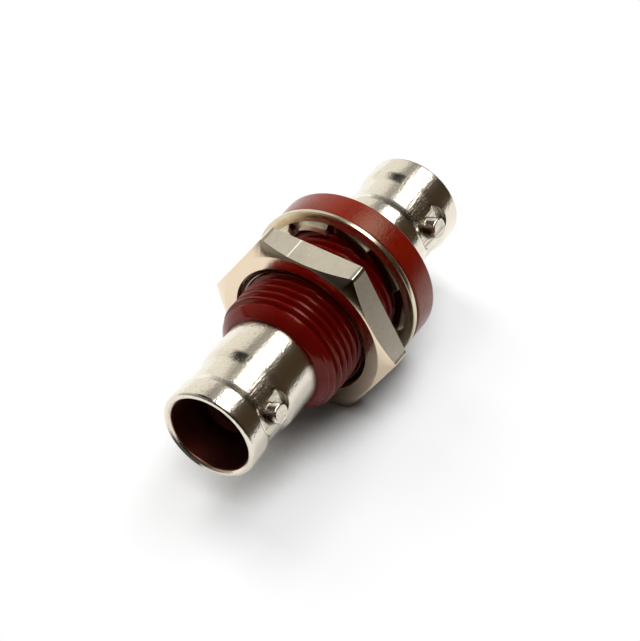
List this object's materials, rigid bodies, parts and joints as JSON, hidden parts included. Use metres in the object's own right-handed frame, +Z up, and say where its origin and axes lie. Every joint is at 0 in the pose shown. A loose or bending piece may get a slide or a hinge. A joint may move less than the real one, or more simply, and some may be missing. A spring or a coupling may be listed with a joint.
{
  "type": "bnc connector",
  "caption": "Insulated straight BNC bulkhead adapter with bayonet jacks at both ends, a moulded flanged sleeve, panel nut and lock washer.",
  "frame": {"origin": "on the surface that the connector lies on, under the middle of its length", "axes": "+X along the connector, from the front mouth on the nut side to the rear mouth on the flange side; +Z up"},
  "size_m": [0.0364, 0.0194, 0.0171],
  "materials": {
    "nickel_plate": "bright nickel plate on turned brass",
    "nickel_nut": "satin nickel plate on brass",
    "nickel_spring": "nickel plate on spring steel",
    "red_plastic": "glossy moulded dark red plastic",
    "maroon_plastic": "semi-matt moulded maroon dielectric",
    "gold_plate": "gold plate on turned brass"
  },
  "bodies": {
    "connector": {"front_shell": "nickel_plate", "rear_shell": "nickel_plate", "insulating_body": "red_plastic", "front_insulator": "maroon_plastic", "rear_insulator": "maroon_plastic", "center_contact": "gold_plate"},
    "washer": {"lock_washer": "nickel_spring"},
    "nut": {"hex_nut": "nickel_nut"}
  },
  "joints": [
    {"name": "nut_turn", "type": "hinge", "parent": "connector", "child": "washer", "pos_m": [0.0035, 0, 0.0084], "axis": [1, 0, 0], "range_deg": [-2880, 900]},
    {"name": "nut_advance", "type": "slide", "parent": "washer", "child": "nut", "axis": [1, 0, 0], "range_m": [-0.00725, 0.00226]}
  ],
  "couplings": [
    {"joint": "nut_turn", "follows": "nut_advance", "rad_per_m": 6926.4}
  ]
}
